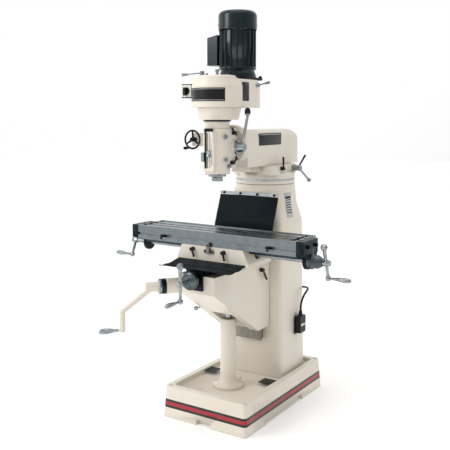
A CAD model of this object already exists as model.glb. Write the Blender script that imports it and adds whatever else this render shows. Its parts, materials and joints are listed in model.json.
import json
import math

import bmesh
import bpy
from mathutils import Matrix, Vector
from mathutils.bvhtree import BVHTree


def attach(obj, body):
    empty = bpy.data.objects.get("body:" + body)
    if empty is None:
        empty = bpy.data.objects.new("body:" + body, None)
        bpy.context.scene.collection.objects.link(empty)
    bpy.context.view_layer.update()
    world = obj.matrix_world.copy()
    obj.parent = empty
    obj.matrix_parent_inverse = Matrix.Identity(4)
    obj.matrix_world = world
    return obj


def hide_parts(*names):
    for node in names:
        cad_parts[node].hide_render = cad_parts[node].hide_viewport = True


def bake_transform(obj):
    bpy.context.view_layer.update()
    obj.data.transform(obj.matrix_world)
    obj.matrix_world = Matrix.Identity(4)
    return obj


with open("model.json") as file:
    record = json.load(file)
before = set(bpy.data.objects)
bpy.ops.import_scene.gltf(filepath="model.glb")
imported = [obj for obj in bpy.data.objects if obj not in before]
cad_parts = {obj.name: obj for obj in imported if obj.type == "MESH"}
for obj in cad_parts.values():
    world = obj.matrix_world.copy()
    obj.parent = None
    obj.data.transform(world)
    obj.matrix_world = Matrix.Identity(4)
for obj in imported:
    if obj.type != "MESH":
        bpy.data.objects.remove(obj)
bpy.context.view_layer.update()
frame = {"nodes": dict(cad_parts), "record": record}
print("frame loaded")


# A node of the given type with its settings, inputs by name or number, and links from other sockets.
def addNode(tree, kind, settings=None, values=None, links=None):
    node = tree.nodes.new(kind)
    for key, value in (settings or {}).items():
        setattr(node, key, value)
    for key, value in (values or {}).items():
        node.inputs[key].default_value = value
    for key, socket in (links or {}).items():
        tree.links.new(socket, node.inputs[key])
    return node


# sRGB hex to the linear colour the shader sockets take.
def linear(hexColor, alpha=1.0):
    parts = [int(hexColor[i:i + 2], 16) / 255 for i in (0, 2, 4)]
    return [c / 12.92 if c <= 0.04045 else ((c + 0.055) / 1.055) ** 2.4 for c in parts] + [alpha]


# The shared start of a material: object coordinates in metres and a surface shader.
def startMaterial(name, values):
    material = bpy.data.materials.new(name)
    material.use_nodes = True
    tree = material.node_tree
    tree.nodes.clear()
    coords = addNode(tree, "ShaderNodeTexCoord").outputs["Object"]
    surface = addNode(tree, "ShaderNodeBsdfPrincipled", values=values)
    output = addNode(tree, "ShaderNodeOutputMaterial")
    tree.links.new(surface.outputs["BSDF"], output.inputs["Surface"])
    return material, tree, coords, surface


# Noise at a real feature size, stretched along chosen axes.
def noiseAt(tree, coords, featureMm, stretch=(1, 1, 1), detail=3.0, roughness=0.55):
    placed = addNode(tree, "ShaderNodeMapping", values={"Scale": stretch}, links={"Vector": coords})
    return addNode(tree, "ShaderNodeTexNoise",
                   values={"Scale": 1000 / featureMm, "Detail": detail, "Roughness": roughness},
                   links={"Vector": placed.outputs["Vector"]}).outputs["Fac"]


def ranged(tree, source, fromLow, fromHigh, toLow, toHigh):
    return addNode(tree, "ShaderNodeMapRange",
                   values={"From Min": fromLow, "From Max": fromHigh, "To Min": toLow, "To Max": toHigh},
                   links={"Value": source}).outputs["Result"]


def mixed(tree, factor, first, second):
    node = addNode(tree, "ShaderNodeMix", {"data_type": "RGBA"})
    for index, value in ((0, factor), (6, first), (7, second)):
        if isinstance(value, bpy.types.NodeSocket):
            tree.links.new(value, node.inputs[index])
        else:
            node.inputs[index].default_value = value
    return node.outputs[2]


def calculated(tree, operation, first, second=0.0, third=0.0):
    node = addNode(tree, "ShaderNodeMath", {"operation": operation})
    for index, value in enumerate((first, second, third)):
        if isinstance(value, bpy.types.NodeSocket):
            tree.links.new(value, node.inputs[index])
        else:
            node.inputs[index].default_value = value
    return node.outputs[0]


# Height into the surface normal, over edges softened by a real radius.
def addRelief(tree, surface, height, depthMm, edgeMm):
    edge = addNode(tree, "ShaderNodeBevel", {"samples": 6}, {"Radius": edgeMm / 1000})
    bump = addNode(tree, "ShaderNodeBump", values={"Strength": 1.0, "Distance": depthMm / 1000},
                   links={"Height": height, "Normal": edge.outputs["Normal"]})
    tree.links.new(bump.outputs["Normal"], surface.inputs["Normal"])


# Thick machine enamel over sanded castings: soft broad sheen, faint orange peel, dust settling on flat tops
# and a little oil darkening in the corners.
def makeMachinePaint(name="creamMachineEnamel", edgeMm=4.0, striped=False):
    material, tree, coords, surface = startMaterial(
        name, {"Roughness": 0.38, "IOR": 1.5, "Coat Weight": 0.25, "Coat Roughness": 0.18})
    broad = noiseAt(tree, coords, 320, detail=4)
    cloudy = noiseAt(tree, coords, 60, detail=5)
    color = mixed(tree, ranged(tree, broad, 0.3, 0.7, 0, 1), linear("e4dccf"), linear("ded5c6"))
    color = mixed(tree, ranged(tree, cloudy, 0.58, 0.75, 0, 0.22), color, linear("d2c8b7"))
    corner = addNode(tree, "ShaderNodeAmbientOcclusion", {"samples": 6, "only_local": False},
                     {"Distance": 0.03})
    grime = ranged(tree, corner.outputs["AO"], 0.15, 0.75, 0.4, 0)
    color = mixed(tree, calculated(tree, "MULTIPLY", grime, cloudy), color, linear("6f6656"))
    if striped:
        height = addNode(tree, "ShaderNodeSeparateXYZ", links={"Vector": coords}).outputs["Z"]
        offset = calculated(tree, "ABSOLUTE", calculated(tree, "SUBTRACT", height, 0.0686))
        onBand = calculated(tree, "LESS_THAN", offset, 0.0205)
        onMiddle = calculated(tree, "LESS_THAN", offset, 0.0085)
        color = mixed(tree, onBand, color, linear("0a0b0d"))
        color = mixed(tree, onMiddle, color, linear("a90f22"))
    tree.links.new(color, surface.inputs["Base Color"])
    tree.links.new(ranged(tree, cloudy, 0.3, 0.7, 0.33, 0.46), surface.inputs["Roughness"])
    peel = noiseAt(tree, coords, 5, detail=2)
    fill = noiseAt(tree, coords, 45, detail=2)
    addRelief(tree, surface, calculated(tree, "MULTIPLY_ADD", fill, 2.2, peel), 0.22, edgeMm)
    return material


# Metals share grain, smudges and a soft machined edge; the stretch sets which way the tool ran.
def makeMetal(name, colors, roughness, grainMm, stretch, edgeMm, depthMm=0.02, metallic=1.0):
    material, tree, coords, surface = startMaterial(name, {"Metallic": metallic})
    grain = noiseAt(tree, coords, grainMm, stretch, detail=4)
    smudge = noiseAt(tree, coords, 35, detail=5)
    color = mixed(tree, ranged(tree, smudge, 0.35, 0.68, 0, 1), linear(colors[0]), linear(colors[1]))
    tree.links.new(color, surface.inputs["Base Color"])
    rough = ranged(tree, calculated(tree, "MULTIPLY_ADD", grain, 0.5, smudge), 0.4, 1.1,
                   roughness[0], roughness[1])
    tree.links.new(rough, surface.inputs["Roughness"])
    addRelief(tree, surface, grain, depthMm, edgeMm)
    return material


# Dull or glossy dark finishes that aren't metal: moulded plastic, motor enamel, rubber.
def makeDark(name, colors, roughness, textureMm, depthMm, edgeMm, coat=0.0, specular=0.3):
    material, tree, coords, surface = startMaterial(
        name, {"IOR": 1.48, "Specular IOR Level": specular, "Coat Weight": coat, "Coat Roughness": 0.12})
    broad = noiseAt(tree, coords, 80, detail=5)
    fine = noiseAt(tree, coords, textureMm, detail=3)
    tree.links.new(mixed(tree, ranged(tree, broad, 0.35, 0.68, 0, 1), linear(colors[0]), linear(colors[1])),
                   surface.inputs["Base Color"])
    tree.links.new(ranged(tree, broad, 0.3, 0.7, roughness[0], roughness[1]), surface.inputs["Roughness"])
    addRelief(tree, surface, fine, depthMm, edgeMm)
    return material


creamEnamel = makeMachinePaint()
stripedEnamel = makeMachinePaint("stripedBaseEnamel", 5.0, True)
groundTable = makeMetal("groundTableSteel", ("7f868a", "757c80"), (0.24, 0.34), 2, (0.02, 1, 1), 0.8)
turnedSteel = makeMetal("turnedSteel", ("a3a9ad", "868d92"), (0.22, 0.4), 2, (0.05, 1, 1), 0.6)
brightSteel = makeMetal("brightCrankSteel", ("a4a9ac", "8b9195"), (0.14, 0.28), 6, (1, 1, 1), 1.2)
darkIron = makeMetal("oiledIron", ("2b3337", "1a2023"), (0.34, 0.5), 5, (1, 1, 1), 1.6, 0.05)
dialAluminium = makeMetal("dialAluminium", ("bfc3c5", "a5aaad"), (0.24, 0.4), 1.5, (1, 1, 1), 0.5)
dialSteel = makeMetal("satinDialSteel", ("62696d", "4c5357"), (0.26, 0.42), 1.5, (1, 1, 1), 0.6)
sandedIron = makeMetal("sandedGreyIron", ("9a968f", "827e77"), (0.4, 0.6), 4, (1, 1, 1), 1.2, 0.05)
motorEnamel = makeDark("motorEnamel", ("04151a", "071d22"), (0.2, 0.32), 6, 0.05, 1.5, 0.2)
mouldedBlack = makeDark("mouldedBlackPlastic", ("0b0d0e", "121415"), (0.34, 0.48), 1.2, 0.03, 0.8)
coverRubber = makeDark("wayCoverRubber", ("020e14", "04141b"), (0.5, 0.64), 2.2, 0.06, 0.4, 0.0, 0.12)
leadRubber = makeDark("leadRubber", ("08090a", "0e1011"), (0.5, 0.62), 1.5, 0.04, 0.4)
plateBlack = makeDark("plateBlackEnamel", ("08090b", "0d0f11"), (0.24, 0.36), 4, 0.02, 0.3, 0.2)
plateSilver = makeMetal("etchedPlate", ("c4c7c8", "a9adaf"), (0.3, 0.45), 1.5, (0.1, 1, 1), 0.3)
bandWhite = makeDark("whiteBand", ("dcdad4", "cfccc4"), (0.4, 0.5), 3, 0.02, 0.5)
print("materials ready")


# --- shapes ---
def meshObject(name, mesh, material):
    mesh.name = name
    piece = bpy.data.objects.new(name, mesh)
    bpy.context.scene.collection.objects.link(piece)
    if material is not None:
        mesh.materials.clear()
        mesh.materials.append(material)
    return piece


def softShade(mesh, degrees=32):
    mesh.polygons.foreach_set("use_smooth", [True] * len(mesh.polygons))
    mesh.set_sharp_from_angle(angle=math.radians(degrees))


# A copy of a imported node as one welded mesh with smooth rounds, standing in for the node.
def finishNode(nodeName, material, degrees=32):
    source = frame["nodes"][nodeName]
    body = bmesh.new()
    body.from_mesh(source.data)
    bmesh.ops.remove_doubles(body, verts=body.verts, dist=0.00002)
    bmesh.ops.dissolve_limit(body, angle_limit=math.radians(0.6), verts=body.verts, edges=body.edges)
    body.transform(source.matrix_world)
    mesh = bpy.data.meshes.new(nodeName + "Finished")
    body.to_mesh(mesh)
    body.free()
    piece = meshObject(nodeName + "Finished", mesh, material)
    softShade(mesh, degrees)
    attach(piece, bodyOf[nodeName])
    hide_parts(nodeName)
    return piece


# Gives the faces whose middle passes the test a second material.
def repaint(piece, material, test):
    piece.data.materials.append(material)
    index = len(piece.data.materials) - 1
    for face in piece.data.polygons:
        if test(face.center):
            face.material_index = index


# Turns a profile of (radius, height) pairs about an axis into a closed mesh.
def turnedMesh(profile, start, direction, sides=32):
    body = bmesh.new()
    rings = []
    for radius, height in profile:
        if radius < 1e-6:
            rings.append([body.verts.new((0, 0, height))] * sides)
            continue
        rings.append([body.verts.new((radius * math.cos(2 * math.pi * k / sides),
                                      radius * math.sin(2 * math.pi * k / sides), height))
                      for k in range(sides)])
    for low, high in zip(rings, rings[1:]):
        for k in range(sides):
            corners = []
            for vert in (low[k], low[(k + 1) % sides], high[(k + 1) % sides], high[k]):
                if vert not in corners:
                    corners.append(vert)
            if len(corners) > 2:
                body.faces.new(corners)
    for ring, flip in ((rings[0], True), (rings[-1], False)):
        if ring[0] is not ring[1]:
            body.faces.new(list(reversed(ring)) if flip else ring)
    turn = Vector(direction).to_track_quat("Z", "Y").to_matrix().to_4x4()
    body.transform(Matrix.Translation(Vector(start)) @ turn)
    bmesh.ops.recalc_face_normals(body, faces=body.faces)
    mesh = bpy.data.meshes.new("turned")
    body.to_mesh(mesh)
    body.free()
    softShade(mesh)
    return mesh


# A plate with rounded corners and a bevelled rim, its face looking along the given direction.
def plateMesh(centre, face, up, width, height, thickness, corner):
    body = bmesh.new()
    outline = []
    for sx, sy, first in ((1, 1, 0), (-1, 1, 90), (-1, -1, 180), (1, -1, 270)):
        for step in range(5):
            angle = math.radians(first + step * 22.5)
            outline.append((sx * (width / 2 - corner) + corner * math.cos(angle),
                            sy * (height / 2 - corner) + corner * math.sin(angle)))
    levels = ((0, 1.0), (thickness * 0.7, 1.0), (thickness, 0.985))
    rings = [[body.verts.new((x * scale, y * scale, level)) for x, y in outline] for level, scale in levels]
    count = len(outline)
    for low, high in zip(rings, rings[1:]):
        for k in range(count):
            body.faces.new((low[k], low[(k + 1) % count], high[(k + 1) % count], high[k]))
    body.faces.new(rings[-1])
    body.faces.new(list(reversed(rings[0])))
    normal = Vector(face).normalized()
    upward = (Vector(up) - normal * Vector(up).dot(normal)).normalized()
    side = upward.cross(normal)
    turn = Matrix((side, upward, normal)).transposed().to_4x4()
    body.transform(Matrix.Translation(Vector(centre)) @ turn)
    bmesh.ops.recalc_face_normals(body, faces=body.faces)
    mesh = bpy.data.meshes.new("plate")
    body.to_mesh(mesh)
    body.free()
    softShade(mesh)
    return mesh


# The turn that points local Z along a direction, leaving pieces that already point up as they are.
def facing(direction):
    if Vector(direction).normalized().z > 0.999:
        return Matrix.Identity(3)
    return Vector(direction).to_track_quat("Z", "Y").to_matrix()


# A piece that rides on a body, made from a finished mesh.
def addPiece(name, mesh, material, body):
    piece = meshObject(name, mesh, material)
    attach(piece, body)
    return piece


# The head of a socket screw: a chamfered round head with a hexagon sunk into it.
def socketHead(radius):
    depth = radius * 1.15
    key = radius * 0.5
    profile = [(radius, 0), (radius, depth * 0.82), (radius * 0.86, depth), (key, depth), (key, depth * 0.45),
               (0, depth * 0.4)]
    return turnedMesh(profile, (0, 0, 0), (0, 0, 1), 18)


# A hexagon nut on a thin washer with its stud showing.
def hexNut(radius):
    nut = turnedMesh([(radius * 0.92, 0), (radius, radius * 0.12), (radius, radius * 0.8),
                      (radius * 0.86, radius * 0.95), (0, radius * 0.95)], (0, 0, 0), (0, 0, 1), 6)
    washer = turnedMesh([(radius * 1.3, 0), (radius * 1.3, radius * 0.14), (0, radius * 0.14)],
                        (0, 0, 0), (0, 0, 1), 20)
    stud = turnedMesh([(radius * 0.5, 0), (radius * 0.5, radius * 1.15), (radius * 0.42, radius * 1.25),
                       (0, radius * 1.25)], (0, 0, 0), (0, 0, 1), 14)
    return joinMeshes([nut, washer, stud])


def joinMeshes(meshes):
    whole = bmesh.new()
    for mesh in meshes:
        whole.from_mesh(mesh)
    result = bpy.data.meshes.new("joined")
    whole.to_mesh(result)
    whole.free()
    softShade(result)
    return result


# A nodes tree that sets copies of one fastener or mark on a circle or a line.
def makeRepeatTree():
    tree = bpy.data.node_groups.new("fastenerRepeat", "GeometryNodeTree")
    face = tree.interface
    for name, kind, value in (("Count", "NodeSocketInt", 4), ("Radius", "NodeSocketFloat", 0.05),
                              ("Step", "NodeSocketVector", (0, 0, 0)), ("Size Spread", "NodeSocketFloat", 0.0),
                              ("Seed", "NodeSocketInt", 7)):
        socket = face.new_socket(name, in_out="INPUT", socket_type=kind)
        socket.default_value = value
    face.new_socket("Item", in_out="INPUT", socket_type="NodeSocketObject")
    face.new_socket("Finish", in_out="INPUT", socket_type="NodeSocketMaterial")
    face.new_socket("Geometry", in_out="OUTPUT", socket_type="NodeSocketGeometry")
    given = addNode(tree, "NodeGroupInput").outputs
    index = addNode(tree, "GeometryNodeInputIndex").outputs["Index"]
    share = calculated(tree, "DIVIDE", index, given["Count"])
    angle = calculated(tree, "MULTIPLY", share, 2 * math.pi)
    across = calculated(tree, "MULTIPLY", calculated(tree, "COSINE", angle), given["Radius"])
    along = calculated(tree, "MULTIPLY", calculated(tree, "SINE", angle), given["Radius"])
    onCircle = addNode(tree, "ShaderNodeCombineXYZ", links={"X": across, "Y": along}).outputs[0]
    onLine = addNode(tree, "ShaderNodeVectorMath", {"operation": "SCALE"},
                     links={0: given["Step"], "Scale": index}).outputs[0]
    place = addNode(tree, "ShaderNodeVectorMath", {"operation": "ADD"},
                    links={0: onCircle, 1: onLine}).outputs[0]
    points = addNode(tree, "GeometryNodePoints", links={"Count": given["Count"], "Position": place}).outputs[0]
    item = addNode(tree, "GeometryNodeObjectInfo", links={"Object": given["Item"]}).outputs["Geometry"]
    turn = addNode(tree, "ShaderNodeCombineXYZ", links={"Z": angle}).outputs[0]
    spread = addNode(tree, "FunctionNodeRandomValue", {"data_type": "FLOAT"},
                     links={"Seed": given["Seed"]}).outputs[1]
    size = calculated(tree, "MULTIPLY_ADD", spread, given["Size Spread"], 1.0)
    copies = addNode(tree, "GeometryNodeInstanceOnPoints",
                     links={"Points": points, "Instance": item, "Rotation": turn, "Scale": size}).outputs[0]
    solid = addNode(tree, "GeometryNodeRealizeInstances", links={"Geometry": copies}).outputs[0]
    finished = addNode(tree, "GeometryNodeSetMaterial",
                       links={"Geometry": solid, "Material": given["Finish"]}).outputs[0]
    output = addNode(tree, "NodeGroupOutput")
    tree.links.new(finished, output.inputs["Geometry"])
    return tree


repeatTree = makeRepeatTree()


# Copies of an item mesh, moved to a place and turned to face a direction, as one plain mesh on a body.
def repeatPiece(name, item, material, body, place, direction, count, radius=0.0, step=(0, 0, 0), spin=0.0):
    holder = bpy.data.objects.new(name + "Holder", bpy.data.meshes.new(name + "Holder"))
    sample = bpy.data.objects.new(name + "Item", item)
    bpy.context.scene.collection.objects.link(holder)
    bpy.context.scene.collection.objects.link(sample)
    modifier = holder.modifiers.new("repeat", "NODES")
    modifier.node_group = repeatTree
    sockets = {entry.name: entry.identifier for entry in repeatTree.interface.items_tree
               if entry.item_type == "SOCKET" and entry.in_out == "INPUT"}
    turn = facing(direction)
    settings = {"Count": count, "Radius": radius, "Step": turn.transposed() @ Vector(step),
                "Size Spread": 0.0, "Seed": 7,
                "Item": sample, "Finish": material}
    for key, value in settings.items():
        modifier[sockets[key]] = value
    holder.update_tag()
    graph = bpy.context.evaluated_depsgraph_get()
    graph.update()
    mesh = bpy.data.meshes.new_from_object(holder.evaluated_get(graph))
    holder.modifiers.clear()
    bpy.data.objects.remove(holder)
    bpy.data.objects.remove(sample)
    mesh.transform(Matrix.Translation(Vector(place)) @ turn.to_4x4() @ Matrix.Rotation(spin, 4, "Z"))
    softShade(mesh)
    return addPiece(name, mesh, material, body)


bodyOf = {node: body for body, nodes in frame["record"]["behaviour"]["bodies"].items() for node in nodes}
print("shape tools ready")


# --- castings and machined pieces that follow their nodes ---
slotOf = {entry["node"]: entry["material_slot"] for entry in frame["record"]["subparts"]}
slotFinish = {
    "cream_paint": creamEnamel, "black_enamel": motorEnamel, "black_plastic": mouldedBlack, "rubber": leadRubber,
    "ground_steel": turnedSteel, "polished_steel": brightSteel, "dark_iron": darkIron,
    "aluminium": dialAluminium,
}
nodeFinish = {"base_casting": stripedEnamel, "table_top": groundTable, "cross_screw": dialSteel,
              "table_dial": dialSteel, "saddle_lock_lever": mouldedBlack}
softNodes = ("rear_way_cover", "front_way_cover")
finished = {}
for nodeName, slotName in slotOf.items():
    if nodeName not in softNodes:
        finish = nodeFinish.get(nodeName, slotFinish[slotName])
        finished[nodeName] = finishNode(nodeName, finish)

# Machined and fitted faces on the painted pieces.
repaint(finished["quill_feed_lever"], mouldedBlack, lambda point: point.z > 1.493)
repaint(finished["column_casting"], sandedIron, lambda point: point.y < 0.04 and point.z < 1.02)
repaint(finished["knee_casting"], darkIron, lambda point: point.z > 0.7425)
repaint(finished["supply_plug"], mouldedBlack, lambda point: point.z > 0.4)
print("castings finished")

# --- fasteners ---
capScrew = {"small": socketHead(0.004), "medium": socketHead(0.006), "large": socketHead(0.009)}
nut = {"medium": hexNut(0.009), "large": hexNut(0.012)}
fastenerRows = [
    ("postFlangeBolts", capScrew["medium"], creamEnamel, "column", (0, -0.175, 0.1625), (0, 0, 1), 4,
     0.064, 0.785),
    ("ramFlangeNuts", nut["large"], brightSteel, "head", (0, -0.2072, 1.34), (0, -1, 0), 4, 0.083, 0.785),
    ("housingCapScrews", capScrew["medium"], darkIron, "head", (0, -0.273, 1.6762), (0, 0, 1), 3, 0.074, 0.4),
    ("motorPlateScrews", nut["medium"], darkIron, "head", (0, -0.092, 1.6724), (0, 0, 1), 4, 0.117, 0.785),
    ("bearingCapScrews", capScrew["small"], darkIron, "knee", (0, -0.4842, 0.727), (0, -1, 0), 3, 0.022, 0.5),
    ("quillRingScrews", capScrew["small"], darkIron, "head", (0, -0.273, 1.2087), (0, 0, -1), 4, 0.052, 0.785),
]
for name, item, material, body, place, direction, count, radius, spin in fastenerRows:
    repeatPiece(name, item, material, body, place, direction, count, radius, spin=spin)
lineRows = [
    ("clampBarScrews", capScrew["medium"], darkIron, "column", (-0.15, 0.02, 1.083), (0, -1, 0), 4, (0.1, 0, 0)),
    ("leftBracketScrews", capScrew["large"], darkIron, "table", (-0.4925, -0.295, 0.9), (-1, 0, 0), 2,
     (0, 0.075, 0)),
    ("rightBracketScrews", capScrew["large"], darkIron, "table", (0.4925, -0.205, 0.9), (1, 0, 0), 2,
     (0, -0.075, 0)),
]
for name, item, material, body, place, direction, count, step in lineRows:
    repeatPiece(name, item, material, body, place, direction, count, step=step)


# Graduations round a dial: thin dark lines laid on its rim.
def dialMarks(name, body, centre, direction, radius, length, count):
    mark = bmesh.new()
    bmesh.ops.create_cube(mark, size=1.0)
    bmesh.ops.bevel(mark, geom=mark.edges, offset=0.08, segments=1, affect="EDGES")
    mark.transform(Matrix.Diagonal((0.0006, 0.0007, length, 1)))
    mesh = bpy.data.meshes.new("mark")
    mark.to_mesh(mesh)
    mark.free()
    return repeatPiece(name, mesh, plateBlack, body, centre, direction, count, radius)


dialMarks("crossDialMarks", "cross_screw", (0, -0.506, 0.727), (0, -1, 0), 0.042, 0.009, 50)
dialMarks("tableDialMarks", "table_screw", (0.486, -0.223, 0.826), (1, 0, 0), 0.036, 0.009, 50)
bandMark = plateMesh((0, 0, 0), (1, 0, 0), (0, 0, 1), 0.0008, 0.008, 0.0004, 0.0003)
repeatPiece("swivelDegreeMarks", bandMark, plateBlack, "turret", (0, 0.19, 1.1545), (0, 0, 1), 120, 0.1559)
print("fasteners and marks placed")

# --- plates, scales and small trim ---
plates = [
    ("ramPlate", plateBlack, "ram", (0.0802, 0.1, 1.365), (1, 0, 0), 0.23, 0.062, 0.0016, 0.005),
    ("ramPlateLine", plateSilver, "ram", (0.0818, 0.1, 1.389), (1, 0, 0), 0.215, 0.003, 0.0005, 0.001),
    ("switchFace", bandWhite, "head", (-0.1585, -0.3041, 1.6045), (0, -1, 0), 0.056, 0.058, 0.0008, 0.004),
    ("depthScale", plateSilver, "head", (0.018, -0.3482, 1.33), (0, -1, 0), 0.009, 0.16, 0.001, 0.001),
    ("speedPlate", plateBlack, "head", (0.1172, -0.205, 1.6), (0.985, 0.05, 0), 0.066, 0.09, 0.0016, 0.004),
    ("connectorBand", bandWhite, "column", (0.2221, 0.208, 0.386), (1, 0, 0), 0.046, 0.012, 0.0008, 0.001),
    ("terminalLid", motorEnamel, "head", (-0.1524, -0.09, 1.81), (-1, 0, 0), 0.078, 0.13, 0.003, 0.008),
]
for name, material, body, centre, face, width, height, thickness, corner in plates:
    addPiece(name, plateMesh(centre, face, (0, 0, 1), width, height, thickness, corner), material, body)

scaleMark = plateMesh((0, 0, 0), (0, -1, 0), (0, 0, 1), 0.006, 0.0006, 0.0003, 0.0002)
repeatPiece("depthScaleMarks", scaleMark, plateBlack, "head", (0.018, -0.3492, 1.256), (0, 0, 1), 38,
            step=(0, 0, 0.004))
print("plates placed")


# --- bands, gaskets and small castings ---
def ringMesh(centre, innerRadius, outerRadius, low, high, sides=96):
    soften = min(0.0008, (high - low) / 4)
    profile = [(innerRadius, low), (outerRadius - soften, low), (outerRadius, low + soften),
               (outerRadius, high - soften), (outerRadius - soften, high), (innerRadius, high)]
    body = bmesh.new()
    rings = [[body.verts.new((radius * math.cos(2 * math.pi * k / sides),
                              radius * math.sin(2 * math.pi * k / sides), height)) for k in range(sides)]
             for radius, height in profile]
    for first, second in zip(rings, rings[1:] + rings[:1]):
        for k in range(sides):
            body.faces.new((first[k], first[(k + 1) % sides], second[(k + 1) % sides], second[k]))
    body.transform(Matrix.Translation(Vector(centre)))
    bmesh.ops.recalc_face_normals(body, faces=body.faces)
    mesh = bpy.data.meshes.new("ring")
    body.to_mesh(mesh)
    body.free()
    softShade(mesh)
    return mesh


# A thin plate bent round an upright cylinder.
def curvedPlate(centre, radius, firstDegrees, lastDegrees, low, high, thickness, steps=28):
    body = bmesh.new()
    columns = []
    for k in range(steps + 1):
        angle = math.radians(firstDegrees + (lastDegrees - firstDegrees) * k / steps)
        out = Vector((math.cos(angle), math.sin(angle), 0))
        base = Vector(centre)
        columns.append([body.verts.new(base + out * (radius + lift) + Vector((0, 0, height)))
                        for lift, height in ((0, low), (thickness, low), (thickness, high), (0, high))])
    for first, second in zip(columns, columns[1:]):
        for k in range(4):
            body.faces.new((first[k], first[(k + 1) % 4], second[(k + 1) % 4], second[k]))
    body.faces.new(columns[0])
    body.faces.new(list(reversed(columns[-1])))
    bmesh.ops.recalc_face_normals(body, faces=body.faces)
    mesh = bpy.data.meshes.new("curvedPlate")
    body.to_mesh(mesh)
    body.free()
    softShade(mesh)
    return mesh


liftDir = Vector((-math.sin(math.radians(40)), -math.cos(math.radians(40)), 0))
addPiece("liftDialRim", turnedMesh([(0.026, 0), (0.0368, 0), (0.0375, 0.001), (0.0375, 0.009), (0.036, 0.0105),
                                    (0.026, 0.0105)], Vector((0, -0.175, 0.661)) + liftDir * 0.3415, liftDir, 48),
         turnedSteel, "lift_crank")
addPiece("swivelScaleBand", ringMesh((0, 0.19, 0), 0.1555, 0.1566, 1.1475, 1.1595), plateSilver, "turret")
addPiece("headJointGasket", ringMesh((0, -0.273, 0), 0.058, 0.0668, 1.4575, 1.4645), mouldedBlack, "head")
addPiece("swivelJoint", ringMesh((0, 0.19, 0), 0.1555, 0.1568, 1.1295, 1.1312), mouldedBlack, "turret")
addPiece("headNamePlate", curvedPlate((0, -0.273, 0), 0.1221, -141, -39, 1.553, 1.615, 0.0012),
         plateBlack, "head")
for name, low, high in (("headPlateUpperLine", 1.6085, 1.6105), ("headPlateLowerLine", 1.5575, 1.5595)):
    addPiece(name, curvedPlate((0, -0.273, 0), 0.1233, -138, -42, low, high, 0.0003), plateSilver, "head")

# Air slots in the top of the fan cover, two rings of them, and the rim screws that hold it.
airSlot = plateMesh((0, 0, 0), (0, 0, 1), (1, 0, 0), 0.005, 0.018, 0.0005, 0.0024)
for name, radius, count in (("innerAirSlots", 0.026, 10), ("middleAirSlots", 0.048, 18)):
    repeatPiece(name, airSlot, plateBlack, "head", (0, -0.09, 2.0), (0, 0, 1), count, radius)
repeatPiece("fanCoverScrews", capScrew["small"], darkIron, "head", (0, -0.09, 1.93), (0, 0, 1), 4,
            0.0945, spin=0.6)

# The stop bracket in the middle of the saddle's front, on an oval foot held by two screws.
bracketParts = [
    plateMesh((-0.013, -0.3242, 0.836), (0, -1, 0), (0, 0, 1), 0.058, 0.022, 0.006, 0.0105),
    plateMesh((-0.013, -0.33, 0.853), (0, -1, 0), (0, 0, 1), 0.017, 0.05, 0.009, 0.004),
    turnedMesh([(0.006, 0), (0.006, 0.012), (0.0045, 0.0135), (0, 0.0135)], (-0.013, -0.339, 0.867), (0, -1, 0), 18),
]
addPiece("stopBracket", joinMeshes(bracketParts), sandedIron, "saddle")
repeatPiece("stopBracketScrews", capScrew["small"], darkIron, "saddle", (-0.033, -0.3302, 0.836), (0, -1, 0), 2,
            step=(0.04, 0, 0))


# A perforated chip screen let into the tray, its holes set in rows.
def chipScreen(name, centre, width, depth):
    body = bmesh.new()
    columns, rows = 9, 7
    cellX, cellY = width / columns, depth / rows
    for column in range(columns):
        for row in range(rows):
            middle = Vector((centre[0] + (column + 0.5) * cellX - width / 2,
                             centre[1] + (row + 0.5) * cellY - depth / 2, centre[2]))
            outer, inner, lower = [], [], []
            for k in range(16):
                angle = math.radians(22.5 * k + 11.25)
                reach = 1 / max(abs(math.cos(angle)), abs(math.sin(angle)))
                square = Vector((math.cos(angle) * cellX / 2, math.sin(angle) * cellY / 2, 0)) * reach
                circle = Vector((math.cos(angle), math.sin(angle), 0)) * min(cellX, cellY) * 0.33
                outer.append(body.verts.new(middle + square))
                inner.append(body.verts.new(middle + circle))
                lower.append(body.verts.new(middle + circle + Vector((0, 0, -0.0012))))
            for k in range(16):
                after = (k + 1) % 16
                body.faces.new((outer[k], outer[after], inner[after], inner[k]))
                body.faces.new((inner[k], inner[after], lower[after], lower[k]))
            body.faces.new(lower)
    bmesh.ops.remove_doubles(body, verts=body.verts, dist=0.00001)
    bmesh.ops.recalc_face_normals(body, faces=body.faces)
    mesh = bpy.data.meshes.new(name)
    body.to_mesh(mesh)
    body.free()
    softShade(mesh)
    return addPiece(name, mesh, darkIron, "column")


chipScreen("leftChipScreen", (-0.172, -0.06, 0.1464), 0.07, 0.07)
chipScreen("rightChipScreen", (0.158, -0.055, 0.1464), 0.075, 0.075)

# Fittings: the screws on the side of the head, the knob under the knee and the boss nuts of the base.
sideScrews = [("sideScrewUpper", (0.0662, -0.3, 1.386)), ("sideScrewMiddle", (0.0662, -0.295, 1.276)),
              ("sideScrewLower", (0.0662, -0.27, 1.244))]
for name, place in sideScrews:
    repeatPiece(name, nut["medium"], brightSteel, "head", place, (1, 0, 0), 1)
kneeKnob = turnedMesh([(0.004, 0), (0.004, 0.012), (0.009, 0.016), (0.011, 0.024), (0.009, 0.032), (0.004, 0.035),
                       (0, 0.0352)], (-0.1, -0.28, 0.54), (-0.9, 0, -0.3), 20)
addPiece("kneeClampKnob", kneeKnob, brightSteel, "knee")
cornerPad = turnedMesh([(0.013, 0), (0.013, 0.002), (0.011, 0.003), (0.004, 0.003), (0.004, 0.0008), (0, 0.0008)],
                       (0, 0, 0), (0, 0, 1), 24)
for name, rearward in (("frontCornerPads", -0.374), ("rearCornerPads", 0.374)):
    repeatPiece(name, cornerPad, creamEnamel, "column", (-0.214, rearward, 0.154), (0, 0, 1), 2,
                step=(0.428, 0, 0))
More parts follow.
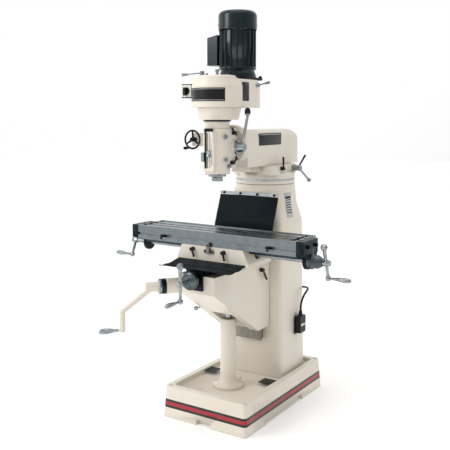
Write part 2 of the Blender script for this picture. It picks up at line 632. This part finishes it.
gaugeParts = [
    plateMesh((-0.0155, -0.3482, 1.328), (0, -1, 0), (0, 0, 1), 0.011, 0.184, 0.0016, 0.002),
    plateMesh((0.003, -0.3482, 1.418), (0, -1, 0), (0, 0, 1), 0.05, 0.014, 0.003, 0.003),
]
addPiece("depthGaugeFrame", joinMeshes(gaugeParts), darkIron, "head")
stopArm = plateMesh((-0.03, -0.3485, 1.29), (0, -1, 0), (0, 0, 1), 0.016, 0.044, 0.007, 0.004)
addPiece("depthStopArm", stopArm, turnedSteel, "head")
print("small castings placed")


# A thin label pressed onto the side of a casting: its points are carried in along -X to the surface.
def pressedLabel(name, casting, rearward, upward, width, height, material, body, lift=0.0):
    graph = bpy.context.evaluated_depsgraph_get()
    tree = BVHTree.FromObject(casting, graph)
    label = bmesh.new()
    columns, rows = 10, 16
    sheets = []
    for raised in (0.0002 + lift, 0.0009 + lift):
        grid = []
        for row in range(rows + 1):
            line = []
            for column in range(columns + 1):
                y = rearward + (column / columns - 0.5) * width
                z = upward + (row / rows - 0.5) * height
                hit = tree.ray_cast(Vector((0.5, y, z)), Vector((-1, 0, 0)))[0]
                line.append(label.verts.new(Vector((hit.x + raised, y, z))))
            grid.append(line)
        sheets.append(grid)
    inner, outer = sheets
    for row in range(rows):
        for column in range(columns):
            for grid, reverse in ((outer, False), (inner, True)):
                corners = [grid[row][column], grid[row][column + 1], grid[row + 1][column + 1],
                           grid[row + 1][column]]
                label.faces.new(list(reversed(corners)) if reverse else corners)
    rim = [(0, column) for column in range(columns)] + [(row, columns) for row in range(rows)]
    rim += [(rows, column) for column in range(columns, 0, -1)] + [(row, 0) for row in range(rows, 0, -1)]
    for first, second in zip(rim, rim[1:] + rim[:1]):
        label.faces.new((inner[first[0]][first[1]], inner[second[0]][second[1]],
                         outer[second[0]][second[1]], outer[first[0]][first[1]]))
    bmesh.ops.recalc_face_normals(label, faces=label.faces)
    mesh = bpy.data.meshes.new(name)
    label.to_mesh(mesh)
    label.free()
    softShade(mesh)
    return addPiece(name, mesh, material, body)


columnSide = finished["column_casting"]
pressedLabel("columnLabel", columnSide, 0.15, 1.022, 0.062, 0.13, plateSilver, "column")
for index in range(7):
    pressedLabel("columnLabelRule%d" % index, columnSide, 0.15, 1.062 - index * 0.013, 0.05,
                 0.0045 if index else 0.012, plateBlack if index % 2 else darkIron, "column", 0.0008)
print("labels pressed on")


# --- rubber way covers ---
sheetThickness = 0.0022


# A sheet hung along a line of points, sagging between its ends, with shallow folds across it.
def coverSheet(name, halfWidth, line, foldDepth, foldCount, edgeDrop):
    columns, rows = 36, 60
    path = [Vector(point) for point in line]
    lengths = [(second - first).length for first, second in zip(path, path[1:])]
    total = sum(lengths)
    body = bmesh.new()
    grid = []
    for row in range(rows + 1):
        share = row / rows
        wanted, section = share * total, 0
        while section < len(lengths) - 1 and wanted > lengths[section]:
            wanted -= lengths[section]
            section += 1
        first, second = path[section], path[section + 1]
        before = path[max(section - 1, 0)]
        after = path[min(section + 2, len(path) - 1)]
        amount = wanted / lengths[section]
        spot = (first * 2 + (second - before) * amount
                + (before * 2 - first * 5 + second * 4 - after) * amount ** 2
                + (first * 3 - before - second * 3 + after) * amount ** 3) * 0.5
        heading = (second - first).normalized()
        out = heading.cross(Vector((1, 0, 0)))
        hold = math.sin(math.pi * share) ** 0.6
        rung = []
        for column in range(columns + 1):
            across = column / columns * 2 - 1
            ripple = math.sin(share * math.pi * foldCount + 0.7 * math.sin(across * 2.3 + 0.4)) \
                + 0.5 * math.sin(share * math.pi * foldCount * 1.7 + across * 1.9 + 1.1)
            droop = abs(across) ** 5 * edgeDrop * hold
            depth = (ripple * foldDepth * (0.55 + 0.45 * abs(across))) * hold
            rung.append(body.verts.new(spot + out * depth + Vector((across * halfWidth, 0, -droop))))
        grid.append(rung)
    for low, high in zip(grid, grid[1:]):
        for k in range(columns):
            body.faces.new((low[k], low[k + 1], high[k + 1], high[k]))
    mesh = bpy.data.meshes.new(name)
    body.to_mesh(mesh)
    body.free()
    piece = meshObject(name, mesh, coverRubber)
    thick = piece.modifiers.new("thickness", "SOLIDIFY")
    thick.thickness = sheetThickness
    thick.offset = 0
    graph = bpy.context.evaluated_depsgraph_get()
    solid = bpy.data.meshes.new_from_object(piece.evaluated_get(graph))
    piece.modifiers.clear()
    piece.data = solid
    softShade(solid, 60)
    return piece, total


rearLine = ((0, 0.019, 1.0735), (0, 0.004, 1.03), (0, -0.016, 0.985), (0, -0.032, 0.935), (0, -0.0375, 0.885),
            (0, -0.038, 0.84), (0, -0.038, 0.805), (0, -0.038, 0.79))
rearCover, rearLength = coverSheet("rearWayCover", 0.174, rearLine, 0.0016, 5, 0.004)
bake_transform(rearCover)
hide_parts("rear_way_cover")

frontLine = ((0, -0.3262, 0.7885), (0, -0.355, 0.7888), (0, -0.39, 0.7868), (0, -0.43, 0.7832), (0, -0.46, 0.7805),
             (0, -0.4845, 0.779))
frontCover, frontLength = coverSheet("frontWayCover", 0.194, frontLine, 0.0016, 4, 0.012)
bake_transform(frontCover)
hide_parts("front_way_cover")
print("way covers hung")

# --- floor, light and camera ---
floorMaterial, floorTree, floorCoords, floorSurface = startMaterial(
    "paleStudioFloor", {"Roughness": 0.75, "Emission Color": (1, 1, 1, 1), "Emission Strength": 0.12})
floorTone = mixed(floorTree, noiseAt(floorTree, floorCoords, 900), linear("fbfbfa"), linear("fdfdfc"))
floorTree.links.new(floorTone, floorSurface.inputs["Base Color"])
bpy.ops.mesh.primitive_plane_add(size=40, location=(0, 0, -0.0005))
studioFloor = bpy.context.object
studioFloor.name = "studioFloor"
studioFloor.data.materials.append(floorMaterial)

world = bpy.data.worlds.new("paleStudio")
bpy.context.scene.world = world
bpy.context.scene.view_settings.view_transform = "Standard"
world.use_nodes = True
world.node_tree.nodes.clear()
# A studio cyclorama, brighter behind and to the left, so that the right-hand sides fall into soft shade.
way = addNode(world.node_tree, "ShaderNodeTexCoord").outputs["Generated"]
toBright = addNode(world.node_tree, "ShaderNodeVectorMath", {"operation": "DOT_PRODUCT"},
                   {1: (-0.66, 0.3, 0.69)}, {0: way}).outputs["Value"]
backing = addNode(world.node_tree, "ShaderNodeBackground", values={"Color": (1, 1, 1, 1)},
                  links={"Strength": ranged(world.node_tree, toBright, -0.8, 0.5, 0.36, 1.0)})
sky = addNode(world.node_tree, "ShaderNodeOutputWorld")
world.node_tree.links.new(backing.outputs[0], sky.inputs["Surface"])


def addSoftbox(name, place, aim, width, height, power):
    light = bpy.data.lights.new(name, "AREA")
    light.shape = "RECTANGLE"
    light.size = width
    light.size_y = height
    light.energy = power
    softbox = bpy.data.objects.new(name, light)
    softbox.location = place
    softbox.rotation_euler = (Vector(aim) - Vector(place)).to_track_quat("-Z", "Y").to_euler()
    bpy.context.scene.collection.objects.link(softbox)


addSoftbox("keySoftbox", (-2.4, -3.4, 3.2), (0, -0.1, 0.9), 1.6, 2.0, 62)
addSoftbox("topSoftbox", (0.2, -0.6, 4.4), (0, 0, 0.8), 2.4, 2.4, 20)

camera = bpy.data.objects.new("camera", bpy.data.cameras.new("camera"))
bpy.context.scene.collection.objects.link(camera)
bpy.context.scene.camera = camera
camera.location = (1.9319, -3.1538, 1.4881)
camera.rotation_euler = (math.radians(90 - 4.17), 0, math.radians(33.23))
camera.data.lens = 57.85
camera.data.shift_y = -0.127
camera.data.dof.use_dof = False

print("scene built")
